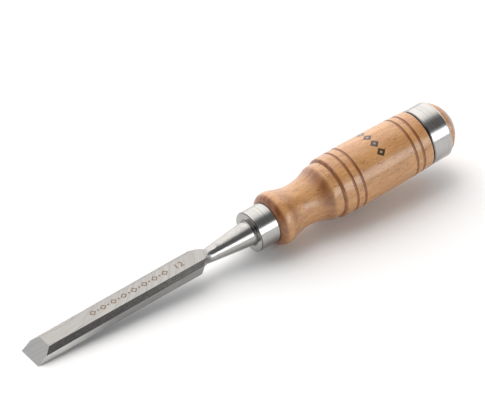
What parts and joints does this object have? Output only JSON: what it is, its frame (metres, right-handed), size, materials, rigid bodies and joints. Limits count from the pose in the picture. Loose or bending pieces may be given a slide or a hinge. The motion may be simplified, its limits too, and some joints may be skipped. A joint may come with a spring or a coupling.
{
  "type": "wood chisel",
  "caption": "Bevel-edge bench chisel: narrow steel blade with a conical neck, steel ferrule, waisted grooved beech handle and a steel striking hoop at its domed end",
  "frame": {"origin": "on the tool's axis in the plane of the ferrule's front face, where the neck of the blade lands on it", "axes": "+X runs along the tool from the cutting edge to the domed end of the handle, +Z is square to the ground top face of the blade, and the flat back faces -Z"},
  "size_m": [0.2205, 0.0279, 0.028],
  "materials": {
    "blade_steel": "fine cross-ground faces, polished neck",
    "ferrule_steel": "turned and bright, fine lathe lines",
    "beech": "beech with dark flecks, clear lacquer",
    "hoop_steel": "turned and bright, fine lathe lines"
  },
  "bodies": {
    "root": {"blade": "blade_steel", "ferrule": "ferrule_steel", "handle": "beech", "striking_hoop": "hoop_steel"}
  },
  "joints": []
}
